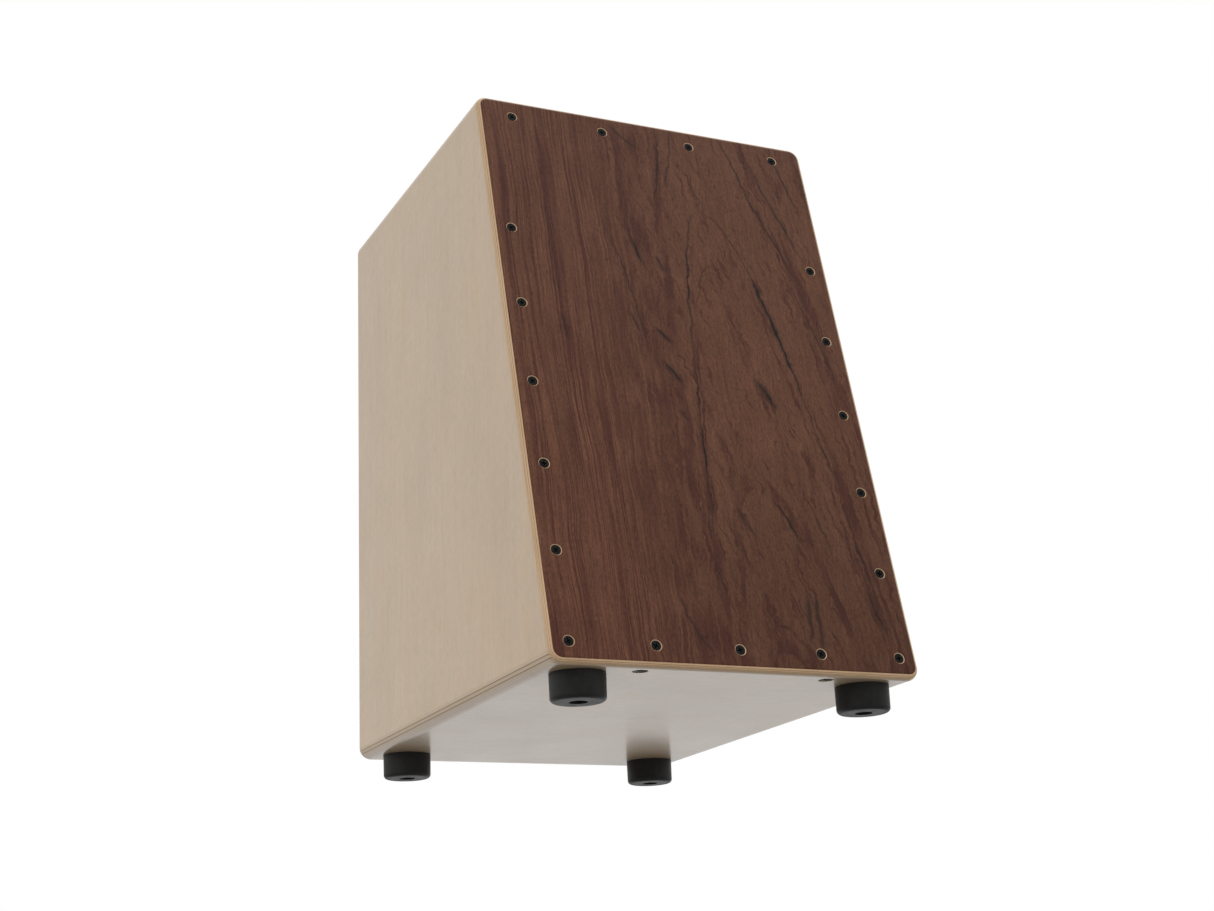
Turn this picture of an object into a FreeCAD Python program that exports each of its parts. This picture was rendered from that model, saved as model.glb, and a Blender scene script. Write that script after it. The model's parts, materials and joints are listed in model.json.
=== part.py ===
import FreeCAD, Part
import math
import os

# A cajon: a plywood box drum to sit on. Its thin front plate leans back, snare strings run up behind the
# plate, and two screws in the underside set the strings' tension. Sizes are in millimetres.
# The origin is on the floor under the middle. +Z is up, the front plate faces -Y, +X is to the right of
# someone who looks at the plate.

# Case
WIDTH = 295.0
BOX_HEIGHT = 480.0
DEPTH_BOTTOM = 424.0  # along the underside, with its front edge taken as sharp
DEPTH_TOP = 312.0  # along the seat
FOOT_HEIGHT = 20.0
PANEL = 9.0  # plywood of the sides, the seat and the bottom
PLATE = 3.0  # plywood of the front plate
BACK = 4.0  # plywood of the back panel
CORNER_ROUND = 10.0  # the four long corners
FRONT_ROUND = 5.0  # all round the front plate
REAR_ROUND = 3.0
BATTEN = 15.0
TENSION_RAIL_DEPTH = 22.0  # the lower front rail is deeper, for the tension screws
SOUND_HOLE_RADIUS = 57.5
SOUND_HOLE_HEIGHT = 320.0
SOUND_HOLE_ROUND = 1.0

# Screws of the front plate
SIDE_SCREW_X = 131.85
SIDE_SCREW_HEIGHTS = [84.4 + 67.7 * step for step in range(5)]  # above the underside
BOTTOM_SCREW_HEIGHT = 16.7
BOTTOM_SCREW_XS = [65.925 * step for step in range(-2, 3)]
TOP_SCREW_HEIGHT = 464.2
TOP_SCREW_XS = [78.8 * step for step in (-1.5, -0.5, 0.5, 1.5)]
PLATE_SCREW_LENGTH = 16.0
PLATE_SCREW_RADIUS = 2.0
PLATE_HEAD_RADIUS = 4.0
PLATE_SCREW_TIP = 4.0
COUNTERSINK_RADIUS = 4.75
PLATE_RECESS = (2.2, 0.9, 1.3)  # the driver recess: half its reach, its width and its depth
PILOT_SHORT = 2.0  # the pilot holes stop this much short of the screws' tips
SCREW_POINT_RADIUS = 0.3

# Feet
FOOT_TOP_RADIUS = 20.0
FOOT_LOW_RADIUS = 19.8
FOOT_ROUND = 3.3
FOOT_SIDE_INSET = 33.0
FOOT_END_INSET = 31.0
FOOT_RECESS_RADIUS = 6.65
FOOT_RECESS_DEPTH = 12.0
FOOT_WASHER = 1.2
FOOT_WASHER_RADIUS = 6.4
FOOT_SCREW_LENGTH = 16.0
FOOT_SCREW_RADIUS = 2.0
FOOT_HEAD_RADIUS = 4.0
FOOT_HEAD_HEIGHT = 2.4

# String tension screws, M6, parallel to the front plate
TENSION_X = 74.3
TENSION_BACK = 14.7  # from the front edge of the underside to the screw's axis
TENSION_RADIUS = 2.95
TENSION_LENGTH = 50.0
TENSION_HEAD_RADIUS = 5.0
TENSION_HEAD_HEIGHT = 6.0
TENSION_HEAD_CHAMFER = 0.5
TENSION_TIP = 1.0
HEAD_SINK = 1.5  # from the underside to the head, along the axis
HEX_ACROSS = 5.0
HEX_DEPTH = 3.0
HEAD_HOLE_RADIUS = 5.7
SHANK_HOLE_RADIUS = 3.4
WASHER_RADIUS = 5.5
WASHER_HOLE_RADIUS = 3.35
STEEL_WASHER = 1.6
NYLON_WASHER = 1.5
TURNING_GAP = 0.05

# Carriages that the tension screws pull down, with their guides
CARRIAGE_LOW = 36.0  # up the slope, with the strings in tune
CARRIAGE_WIDTH = 30.0
CARRIAGE_HEIGHT = 12.0
CARRIAGE_BORE_RADIUS = 3.0
GUIDE_WIDTH = 40.0
GUIDE_THICK = 1.5
GUIDE_LOW = 15.5
GUIDE_HIGH = 64.0
GUIDE_SCREW_X = 13.0
GUIDE_SCREW_UP = 23.0

# Strings
STRING_RADIUS = 0.45
STRING_GAP = 0.2  # between a string and the plate
STRING_SPREAD_LOW = 10.0
STRING_SPREAD_HIGH = 30.0
STRING_BEND = 1.2
STRING_TAIL = 3.5  # past the clamp screw
CLAMP_SCREW_X = 12.15
CLAMP_SCREW_BACK = 13.0
CLAMP_SCREW_RADIUS = 1.5
CLAMP_HEAD_RADIUS = 2.75
CLAMP_HEAD_HEIGHT = 2.0
CLAMP_SCREW_GRIP = 7.0  # in the carriage
CLAMP_SCREW_TIP = 0.5
CLAMP_HOLE_DEPTH = 8.0
BRACKET_HALF_LENGTH = 114.0
BRACKET_THICK = 1.5
BRACKET_LOW = 455.0
BRACKET_HIGH = 486.0
BRACKET_SCREW_XS = [-104.3, -20.0, 20.0, 104.3]
BRACKET_SCREW_UP = 479.5
BALL_RADIUS = 1.95
BALL_LENGTH = 3.3
BALL_ROUND = 0.5

# Small pan-head wood screws of the guides and the bracket
SMALL_SCREW_RADIUS = 1.75
SMALL_SCREW_LENGTH = 12.0
SMALL_HEAD_RADIUS = 3.5
SMALL_HEAD_HEIGHT = 2.2

# All pan heads: shares of the head's height or radius, and the recess's width as a share of its reach
PAN_SCREW_TIP = 3.0
PAN_ROUND = 0.45
PAN_RECESS_REACH = 0.55
PAN_RECESS_WIDTH = 0.4
PAN_RECESS_DEPTH = 0.6

# Worked out from the driving dimensions
Vector = FreeCAD.Vector
HALF = WIDTH / 2
LEAN_TAN = (DEPTH_BOTTOM - DEPTH_TOP) / BOX_HEIGHT
LEAN = math.atan(LEAN_TAN)
LEAN_SIN = math.sin(LEAN)
LEAN_COS = math.cos(LEAN)
# rounding the wedge-shaped front edge moves the foremost point back by this much
FRONT_LOSS = FRONT_ROUND * ((1 + LEAN_SIN) * LEAN_TAN + LEAN_COS - 1)
BACK_Y = (DEPTH_BOTTOM - FRONT_LOSS) / 2
FRONT_Y = BACK_Y - DEPTH_BOTTOM
INNER = HALF - PANEL
FLOOR_Z = FOOT_HEIGHT + PANEL
CEILING_Z = FOOT_HEIGHT + BOX_HEIGHT - PANEL
TOP_Z = FOOT_HEIGHT + BOX_HEIGHT
FAR = 700.0  # reaches past the case
STRING_BACK = PLATE + STRING_GAP + STRING_RADIUS
TENSION_DEPTH = TENSION_BACK * LEAN_COS
CARRIAGE_FRONT = STRING_BACK + STRING_RADIUS + TURNING_GAP
CARRIAGE_BACK = 2 * TENSION_DEPTH - CARRIAGE_FRONT
HEAD_LOW = TENSION_DEPTH * LEAN_TAN + HEAD_SINK
HEAD_HIGH = HEAD_LOW + TENSION_HEAD_HEIGHT
STEEL_LOW = HEAD_HIGH + TURNING_GAP
NYLON_LOW = STEEL_LOW + STEEL_WASHER
SPOT_FACE = NYLON_LOW + NYLON_WASHER
RAIL_BACK = PLATE + TENSION_RAIL_DEPTH
TOP_RAIL_BACK = PLATE + BATTEN

# Leaning coordinates: X across, Y straight back from the plate's face, Z up its slope. They start where
# the plate's face meets the underside.
LEANING = FreeCAD.Placement(
    Vector(0, FRONT_Y, FOOT_HEIGHT),
    FreeCAD.Rotation(Vector(1, 0, 0), -math.degrees(LEAN)),
)
UP = Vector(0, 0, 1)
FORWARD = Vector(0, -1, 0)
BACKWARD = Vector(0, 1, 0)


def leaned(shape):
    """The shape, taken from leaning coordinates to the object's own."""
    copy = shape.copy()
    copy.Placement = LEANING.multiply(copy.Placement)
    return copy


def slope_at(height, depth=0.0):
    """How far up the slope a level plane is met, depth behind the plate's face."""
    return (height + depth * LEAN_SIN) / LEAN_COS


def block(x, y, z):
    """A box from the low and high values on each axis."""
    return Part.makeBox(x[1] - x[0], y[1] - y[0], z[1] - z[0], Vector(x[0], y[0], z[0]))


def rod(radius, start, length, direction=UP):
    return Part.makeCylinder(radius, length, Vector(*start), direction)


def cone(low_radius, high_radius, start, length, direction=UP):
    return Part.makeCone(low_radius, high_radius, length, Vector(*start), direction)


def ring(outer, inner, start, length, direction=UP):
    return rod(outer, start, length, direction).cut(rod(inner, start, length, direction))


def joined(shapes):
    first, *rest = shapes
    return first.fuse(rest).removeSplitter()


def along(start, direction, distance):
    end = Vector(*start) + Vector(direction).multiply(distance)
    return (end.x, end.y, end.z)


def cross_recess(start, direction, reach, width, depth):
    """A cross-shaped driver recess, cut into a head from start along direction."""
    bars = [
        block((-reach, reach), (-width / 2, width / 2), (0, depth)),
        block((-width / 2, width / 2), (-reach, reach), (0, depth)),
    ]
    cross = joined(bars)
    cross.Placement = FreeCAD.Placement(Vector(*start), FreeCAD.Rotation(UP, direction))
    return cross


def countersunk_screw(start, direction):
    """A wood screw whose flat head lies in a 90 degree countersink. It starts on the wood's face."""
    sink = COUNTERSINK_RADIUS - PLATE_HEAD_RADIUS
    head_height = PLATE_HEAD_RADIUS - PLATE_SCREW_RADIUS
    top = along(start, direction, sink)
    neck = along(top, direction, head_height)
    tip_start = along(top, direction, PLATE_SCREW_LENGTH - PLATE_SCREW_TIP)
    shank = PLATE_SCREW_LENGTH - head_height - PLATE_SCREW_TIP
    screw = joined([
        cone(PLATE_HEAD_RADIUS, PLATE_SCREW_RADIUS, top, head_height, direction),
        rod(PLATE_SCREW_RADIUS, neck, shank, direction),
        cone(PLATE_SCREW_RADIUS, SCREW_POINT_RADIUS, tip_start, PLATE_SCREW_TIP, direction),
    ])
    return screw.cut(cross_recess(top, direction, *PLATE_RECESS))


def countersink(start, direction):
    """The hole that such a screw leaves in the plate."""
    slope = COUNTERSINK_RADIUS - PLATE_SCREW_RADIUS
    return joined([
        cone(COUNTERSINK_RADIUS, PLATE_SCREW_RADIUS, start, slope, direction),
        rod(PLATE_SCREW_RADIUS, along(start, direction, slope), PLATE, direction),
    ])


def pilot_hole(start, direction, radius, length):
    return rod(radius, start, length, direction)


def pan_screw(start, direction, radius, length, head_radius, head_height, tip=PAN_SCREW_TIP):
    """A pan-head screw. start is under its head, on the axis, and direction is the way that it goes in."""
    head_start = along(start, direction, -head_height)
    head = rod(head_radius, head_start, head_height, direction)
    rim = [edge for edge in head.Edges if is_at(edge, head_start, direction)]
    head = head.makeFillet(head_height * PAN_ROUND, rim)
    screw = joined([
        head,
        rod(radius, start, length - tip, direction),
        cone(radius, SCREW_POINT_RADIUS, along(start, direction, length - tip), tip, direction),
    ])
    reach = head_radius * PAN_RECESS_REACH
    width = reach * PAN_RECESS_WIDTH
    return screw.cut(cross_recess(head_start, direction, reach, width, head_height * PAN_RECESS_DEPTH))


def is_at(edge, point, direction):
    """True for a round edge that lies in the plane through point, square to direction."""
    offsets = [(vertex.Point - Vector(*point)).dot(direction) for vertex in edge.Vertexes]
    flat = all(abs(offset) < 1e-4 for offset in offsets)
    middle = (edge.valueAt((edge.FirstParameter + edge.LastParameter) / 2) - Vector(*point)).dot(direction)
    return flat and abs(middle) < 1e-4


def small_screw(start, direction):
    return pan_screw(
        start, direction, SMALL_SCREW_RADIUS, SMALL_SCREW_LENGTH, SMALL_HEAD_RADIUS, SMALL_HEAD_HEIGHT
    )


def small_hole(start, direction):
    return pilot_hole(start, direction, SMALL_SCREW_RADIUS, SMALL_SCREW_LENGTH)


def case_envelope():
    """The outside of the whole box as one solid, with all its rounded edges."""
    left, right, low, high = -HALF, HALF, FOOT_HEIGHT, TOP_Z
    r = CORNER_ROUND
    diagonal = r * (1 - math.sqrt(0.5))

    def at(x, z):
        return Vector(x, BACK_Y, z)

    edges = [
        Part.LineSegment(at(left + r, low), at(right - r, low)),
        Part.Arc(at(right - r, low), at(right - diagonal, low + diagonal), at(right, low + r)),
        Part.LineSegment(at(right, low + r), at(right, high - r)),
        Part.Arc(at(right, high - r), at(right - diagonal, high - diagonal), at(right - r, high)),
        Part.LineSegment(at(right - r, high), at(left + r, high)),
        Part.Arc(at(left + r, high), at(left + diagonal, high - diagonal), at(left, high - r)),
        Part.LineSegment(at(left, high - r), at(left, low + r)),
        Part.Arc(at(left, low + r), at(left + diagonal, low + diagonal), at(left + r, low)),
    ]
    outline = Part.Face(Part.Wire([edge.toShape() for edge in edges]))
    prism = outline.extrude(Vector(0, -DEPTH_BOTTOM - PANEL, 0))
    wedge = prism.common(behind_plate_face(0))
    rear = [edge for edge in wedge.Edges if is_at(edge, (0, BACK_Y, 0), BACKWARD)]
    wedge = wedge.makeFillet(REAR_ROUND, rear)
    face_point = (0, FRONT_Y, FOOT_HEIGHT)
    square_to_face = Vector(0, LEAN_COS, -LEAN_SIN)
    front = [edge for edge in wedge.Edges if is_at(edge, face_point, square_to_face)]
    return wedge.makeFillet(FRONT_ROUND, front)


def behind_plate_face(depth, to=FAR):
    """Everything from depth behind the plate's face back to another depth."""
    return leaned(block((-FAR, FAR), (depth, to), (-FAR, 2 * FAR)))


def plate_screw_places():
    """Each screw's place on the plate's face: X, and how far up the slope."""
    sides = [(x, h) for x in (-SIDE_SCREW_X, SIDE_SCREW_X) for h in SIDE_SCREW_HEIGHTS]
    bottom = [(x, BOTTOM_SCREW_HEIGHT) for x in BOTTOM_SCREW_XS]
    top = [(x, TOP_SCREW_HEIGHT) for x in TOP_SCREW_XS]
    return [(x, 0, slope_at(height)) for x, height in sides + bottom + top]


def foot_places():
    """The middle of each foot: name to X and Y."""
    x = HALF - FOOT_SIDE_INSET
    front = FRONT_Y + FOOT_END_INSET
    back = BACK_Y - FOOT_END_INSET
    return {
        "foot_front_left": (-x, front),
        "foot_front_right": (x, front),
        "foot_back_left": (-x, back),
        "foot_back_right": (x, back),
    }


def foot(x, y):
    body = cone(FOOT_LOW_RADIUS, FOOT_TOP_RADIUS, (x, y, 0), FOOT_HEIGHT)
    rim = [edge for edge in body.Edges if is_at(edge, (x, y, 0), UP)]
    body = body.makeFillet(FOOT_ROUND, rim)
    recess = rod(FOOT_RECESS_RADIUS, (x, y, 0), FOOT_RECESS_DEPTH)
    return body.cut([recess, rod(FOOT_SCREW_RADIUS, (x, y, 0), FOOT_HEIGHT)])


def foot_washer(x, y):
    low = FOOT_RECESS_DEPTH - FOOT_WASHER
    return ring(FOOT_WASHER_RADIUS, FOOT_SCREW_RADIUS, (x, y, low), FOOT_WASHER)


def foot_screw(x, y):
    start = (x, y, FOOT_RECESS_DEPTH - FOOT_WASHER)
    size = (FOOT_SCREW_RADIUS, FOOT_SCREW_LENGTH, FOOT_HEAD_RADIUS, FOOT_HEAD_HEIGHT)
    return pan_screw(start, UP, *size)


def hexagon(across, start, depth):
    radius = across / math.sqrt(3)
    turns = [math.radians(60 * corner) for corner in range(7)]
    corners = [Vector(radius * math.cos(turn), radius * math.sin(turn), 0) for turn in turns]
    points = [Vector(*start) + corner for corner in corners]
    return Part.Face(Part.makePolygon(points)).extrude(Vector(0, 0, depth))


def tension_screw(x):
    """A socket-head screw, in leaning coordinates."""
    head = rod(TENSION_HEAD_RADIUS, (x, TENSION_DEPTH, HEAD_LOW), TENSION_HEAD_HEIGHT)
    rim = [edge for edge in head.Edges if is_at(edge, (x, TENSION_DEPTH, HEAD_LOW), UP)]
    head = head.makeChamfer(TENSION_HEAD_CHAMFER, rim)
    shank = rod(TENSION_RADIUS, (x, TENSION_DEPTH, HEAD_HIGH), TENSION_LENGTH - TENSION_TIP)
    end = (x, TENSION_DEPTH, HEAD_HIGH + TENSION_LENGTH - TENSION_TIP)
    tip = cone(TENSION_RADIUS, TENSION_RADIUS - TENSION_TIP, end, TENSION_TIP)
    socket = hexagon(HEX_ACROSS, (x, TENSION_DEPTH, HEAD_LOW), HEX_DEPTH)
    return joined([head, shank, tip]).cut(socket)


def washer(x, low, thick):
    return ring(WASHER_RADIUS, WASHER_HOLE_RADIUS, (x, TENSION_DEPTH, low), thick)


def string_xs(side, spread):
    return [side * TENSION_X + turn * spread for turn in (-1, 1)]


def carriage(side):
    """A block on the tension screw. Each string goes down its front and back under it to a clamp screw."""
    x = side * TENSION_X
    body = block(
        (x - CARRIAGE_WIDTH / 2, x + CARRIAGE_WIDTH / 2),
        (CARRIAGE_FRONT, CARRIAGE_BACK),
        (CARRIAGE_LOW, CARRIAGE_LOW + CARRIAGE_HEIGHT),
    )
    low_front = [
        edge for edge in body.Edges
        if is_at(edge, (x, CARRIAGE_FRONT, 0), BACKWARD) and is_at(edge, (x, 0, CARRIAGE_LOW), UP)
    ]
    body = body.makeFillet(STRING_BEND - STRING_RADIUS, low_front)
    bore = rod(CARRIAGE_BORE_RADIUS, (x, TENSION_DEPTH, CARRIAGE_LOW), CARRIAGE_HEIGHT)
    clamps = [rod(CLAMP_SCREW_RADIUS, start, CLAMP_HOLE_DEPTH) for start in clamp_places(side)]
    return body.cut([bore] + clamps)


def clamp_places(side):
    """Where each clamp screw enters its carriage from below."""
    x = side * TENSION_X
    return [(x + turn * CLAMP_SCREW_X, CLAMP_SCREW_BACK, CARRIAGE_LOW) for turn in (-1, 1)]


def clamp_screw(place):
    """A small screw whose head stands off the carriage by one string's thickness."""
    standoff = 2 * STRING_RADIUS + 2 * TURNING_GAP
    x, y, z = place
    size = (CLAMP_SCREW_RADIUS, standoff + CLAMP_SCREW_GRIP, CLAMP_HEAD_RADIUS, CLAMP_HEAD_HEIGHT)
    return pan_screw((x, y, z - standoff), UP, *size, tip=CLAMP_SCREW_TIP)


def guide(side):
    """A flat steel strip behind a carriage, so that the carriage can't turn."""
    x = side * TENSION_X
    strip = block(
        (x - GUIDE_WIDTH / 2, x + GUIDE_WIDTH / 2),
        (RAIL_BACK, RAIL_BACK + GUIDE_THICK),
        (GUIDE_LOW, GUIDE_HIGH),
    )
    return strip.cut([small_hole(start, FORWARD) for start in guide_screw_places(side)])


def guide_screw_places(side):
    back = RAIL_BACK + GUIDE_THICK
    return [(side * TENSION_X + turn * GUIDE_SCREW_X, back, GUIDE_SCREW_UP) for turn in (-1, 1)]


def string(x_low, x_high):
    """One string, in leaning coordinates: from its clamp under the carriage, round the carriage's front
    edge, up behind the plate, over the bracket's front edge and back to its ball end."""
    bend = STRING_BEND
    under = CARRIAGE_LOW - STRING_RADIUS - TURNING_GAP
    over = BRACKET_LOW + BRACKET_THICK + STRING_RADIUS
    short = bend * (1 - math.sqrt(0.5))
    straight_from = CARRIAGE_LOW + CARRIAGE_HEIGHT
    points = {
        "end": Vector(x_low, CLAMP_SCREW_BACK + STRING_TAIL, under),
        "low_bend_back": Vector(x_low, STRING_BACK + bend, under),
        "low_bend": Vector(x_low, STRING_BACK + short, under + short),
        "low_bend_up": Vector(x_low, STRING_BACK, under + bend),
        "off_carriage": Vector(x_low, STRING_BACK, straight_from),
        "on_bracket": Vector(x_high, STRING_BACK, over - 2 * bend),
        "high_bend_low": Vector(x_high, STRING_BACK, over - bend),
        "high_bend": Vector(x_high, STRING_BACK + short, over - short),
        "high_bend_back": Vector(x_high, STRING_BACK + bend, over),
        "ball": Vector(x_high, TOP_RAIL_BACK + BRACKET_THICK + BALL_LENGTH, over),
    }
    lower = [
        Part.LineSegment(points["end"], points["low_bend_back"]),
        Part.Arc(points["low_bend_back"], points["low_bend"], points["low_bend_up"]),
        Part.LineSegment(points["low_bend_up"], points["off_carriage"]),
    ]
    upper = [
        Part.LineSegment(points["on_bracket"], points["high_bend_low"]),
        Part.Arc(points["high_bend_low"], points["high_bend"], points["high_bend_back"]),
        Part.LineSegment(points["high_bend_back"], points["ball"]),
    ]
    span = points["on_bracket"] - points["off_carriage"]
    middle = Part.makeCylinder(STRING_RADIUS, span.Length, points["off_carriage"], span)
    knuckles = [Part.makeSphere(STRING_RADIUS, points[name]) for name in ("off_carriage", "on_bracket")]
    return joined([swept(lower), swept(upper), middle] + knuckles)


def swept(segments):
    """A round wire along straight lines and the arcs between them."""
    path = Part.Wire([segment.toShape() for segment in segments])
    start = path.Edges[0].valueAt(path.Edges[0].FirstParameter)
    heading = path.Edges[0].tangentAt(path.Edges[0].FirstParameter)
    profile = Part.Wire(Part.makeCircle(STRING_RADIUS, start, heading))
    return path.makePipeShell([profile], True, True)


def bracket():
    """A steel angle under the upper front rail. Its front edge holds the strings close to the plate."""
    front = STRING_BACK + STRING_RADIUS
    across = (-BRACKET_HALF_LENGTH, BRACKET_HALF_LENGTH)
    back = TOP_RAIL_BACK + BRACKET_THICK
    upright = block(across, (TOP_RAIL_BACK, back), (BRACKET_LOW, BRACKET_HIGH))
    shelf = block(across, (front, back), (BRACKET_LOW, BRACKET_LOW + BRACKET_THICK))
    level = BRACKET_LOW + BRACKET_THICK + STRING_RADIUS
    holes = [
        rod(STRING_RADIUS, (x, TOP_RAIL_BACK, level), BRACKET_THICK, BACKWARD) for x in all_string_tops()
    ]
    holes += [small_hole(start, FORWARD) for start in bracket_screw_places()]
    angle = joined([upright, shelf])
    lip = [
        edge for edge in angle.Edges
        if is_at(edge, (0, front, 0), BACKWARD) and is_at(edge, (0, 0, BRACKET_LOW + BRACKET_THICK), UP)
    ]
    return angle.makeFillet(STRING_BEND - STRING_RADIUS, lip).cut(holes)


def all_string_tops():
    return [x for side in (-1, 1) for x in string_xs(side, STRING_SPREAD_HIGH)]


def bracket_screw_places():
    back = TOP_RAIL_BACK + BRACKET_THICK
    return [(x, back, BRACKET_SCREW_UP) for x in BRACKET_SCREW_XS]


def ball_end(x):
    """A brass ball end: a short cylinder on the string, with rounded ends."""
    start = (x, TOP_RAIL_BACK + BRACKET_THICK, BRACKET_LOW + BRACKET_THICK + STRING_RADIUS)
    body = ring(BALL_RADIUS, STRING_RADIUS, start, BALL_LENGTH, BACKWARD)
    rims = [
        edge for edge in body.Edges
        if edge.BoundBox.XLength > 2 * STRING_RADIUS + 0.1 and edge.BoundBox.YLength < 1e-3
    ]
    return body.makeFillet(BALL_ROUND, rims)


def panels(envelope):
    """The plywood of the case, each panel cut out of the one rounded outside."""
    inside = envelope.common(behind_plate_face(PLATE))
    middle = (FLOOR_Z, CEILING_Z)
    hole_start = (0, BACK_Y - BACK, SOUND_HOLE_HEIGHT)
    back = block((-INNER, INNER), (BACK_Y - BACK, BACK_Y), middle)
    back = back.cut(rod(SOUND_HOLE_RADIUS, hole_start, BACK, BACKWARD))
    rim = [
        edge for edge in back.Edges
        if is_at(edge, (0, BACK_Y, 0), BACKWARD) and abs(edge.BoundBox.XLength - 2 * SOUND_HOLE_RADIUS) < 1
    ]
    plate_holes = [leaned(countersink(place, BACKWARD)) for place in plate_screw_places()]
    head_holes = [
        leaned(rod(HEAD_HOLE_RADIUS, (side * TENSION_X, TENSION_DEPTH, -PANEL), PANEL + SPOT_FACE))
        for side in (-1, 1)
    ]
    foot_holes = [
        rod(FOOT_SCREW_RADIUS, (x, y, 0), FOOT_RECESS_DEPTH - FOOT_WASHER + FOOT_SCREW_LENGTH)
        for x, y in foot_places().values()
    ]
    bottom = inside.common(block((-FAR, FAR), (-FAR, FAR), (0, FLOOR_Z)))
    return {
        "bottom_panel": bottom.cut(head_holes + foot_holes),
        "seat_panel": inside.common(block((-FAR, FAR), (-FAR, FAR), (CEILING_Z, FAR))),
        "side_panel_left": inside.common(block((-FAR, -INNER), (-FAR, FAR), middle)),
        "side_panel_right": inside.common(block((INNER, FAR), (-FAR, FAR), middle)),
        "back_panel": back.makeFillet(SOUND_HOLE_ROUND, rim),
        "front_plate": envelope.common(behind_plate_face(0, PLATE)).cut(plate_holes),
    }


def battens():
    """The glued battens behind the front plate and in front of the back panel."""
    low = (FLOOR_Z, FLOOR_Z + BATTEN)
    high = (CEILING_Z - BATTEN, CEILING_Z)
    middle = (low[1], high[0])
    across = (-INNER, INNER)
    sides = {"left": (-INNER, BATTEN - INNER), "right": (INNER - BATTEN, INNER)}
    rear = (BACK_Y - BACK - BATTEN, BACK_Y - BACK)
    made = {
        "back_rail_bottom": block(across, rear, low),
        "back_rail_top": block(across, rear, high),
    }
    pilots = [
        leaned(pilot_hole(place, BACKWARD, PLATE_SCREW_RADIUS, PLATE + PLATE_SCREW_LENGTH - PILOT_SHORT))
        for place in plate_screw_places()
    ]
    front_bottom = block(across, (-FAR, FAR), low).common(behind_plate_face(PLATE, RAIL_BACK))
    front_top = block(across, (-FAR, FAR), high).common(behind_plate_face(PLATE, TOP_RAIL_BACK))
    tension_holes = []
    for side in (-1, 1):
        axis_x = side * TENSION_X
        tension_holes.append(leaned(rod(HEAD_HOLE_RADIUS, (axis_x, TENSION_DEPTH, 0), SPOT_FACE)))
        tension_holes.append(leaned(rod(SHANK_HOLE_RADIUS, (axis_x, TENSION_DEPTH, 0), GUIDE_HIGH)))
        tension_holes += [leaned(small_hole(start, FORWARD)) for start in guide_screw_places(side)]
    bracket_holes = [leaned(small_hole(start, FORWARD)) for start in bracket_screw_places()]
    made["front_rail_bottom"] = front_bottom.cut(pilots + tension_holes)
    made["front_rail_top"] = front_top.cut(pilots + bracket_holes)
    for name, x in sides.items():
        front = block(x, (-FAR, FAR), middle).common(behind_plate_face(PLATE, TOP_RAIL_BACK))
        made["front_stile_" + name] = front.cut(pilots)
        made["back_stile_" + name] = block(x, rear, middle)
    return made


def feet():
    places = foot_places()
    made = {name: foot(x, y) for name, (x, y) in places.items()}
    made["foot_washers"] = Part.makeCompound([foot_washer(x, y) for x, y in places.values()])
    made["foot_screws"] = Part.makeCompound([foot_screw(x, y) for x, y in places.values()])
    return made


def plate_screws():
    screws = [countersunk_screw(place, BACKWARD) for place in plate_screw_places()]
    return {"front_plate_screws": leaned(Part.makeCompound(screws))}


def tension_parts():
    """Everything that tightens the strings, on both sides."""
    axes = [-TENSION_X, TENSION_X]
    made = {
        "tension_washers": Part.makeCompound([washer(x, STEEL_LOW, STEEL_WASHER) for x in axes]),
        "thrust_washers": Part.makeCompound([washer(x, NYLON_LOW, NYLON_WASHER) for x in axes]),
        "carriage_guide_screws": Part.makeCompound(
            [small_screw(start, FORWARD) for side in (-1, 1) for start in guide_screw_places(side)]
        ),
    }
    for name, side in (("left", -1), ("right", 1)):
        made["tension_screw_" + name] = tension_screw(side * TENSION_X)
        made["tension_carriage_" + name] = carriage(side)
        made["carriage_guide_" + name] = guide(side)
        clamps = [clamp_screw(place) for place in clamp_places(side)]
        made["string_clamp_screws_" + name] = Part.makeCompound(clamps)
    return {name: leaned(shape) for name, shape in made.items()}


def strings():
    made = {
        "string_bracket": bracket(),
        "string_bracket_screws": Part.makeCompound(
            [small_screw(start, FORWARD) for start in bracket_screw_places()]
        ),
        "string_ball_ends": Part.makeCompound([ball_end(x) for x in all_string_tops()]),
    }
    for name, side in (("left", -1), ("right", 1)):
        ends = zip(string_xs(side, STRING_SPREAD_LOW), string_xs(side, STRING_SPREAD_HIGH))
        made["snare_strings_" + name] = Part.makeCompound([string(low, high) for low, high in ends])
    return {name: leaned(shape) for name, shape in made.items()}


def main():
    os.makedirs("parts", exist_ok=True)
    sub_parts = {}
    sub_parts.update(panels(case_envelope()))
    sub_parts.update(battens())
    sub_parts.update(plate_screws())
    sub_parts.update(feet())
    sub_parts.update(tension_parts())
    sub_parts.update(strings())
    for name, shape in sorted(sub_parts.items()):
        shape.exportStep(os.path.join("parts", name + ".step"))
        print(name, len(shape.Solids), round(shape.Volume, 1), shape.isValid())


main()
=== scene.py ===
"""The looks of a leaning cajon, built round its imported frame: wood, metal and rubber, light and camera."""

import json
import math

import bpy
import numpy as np
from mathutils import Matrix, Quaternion, Vector


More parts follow.
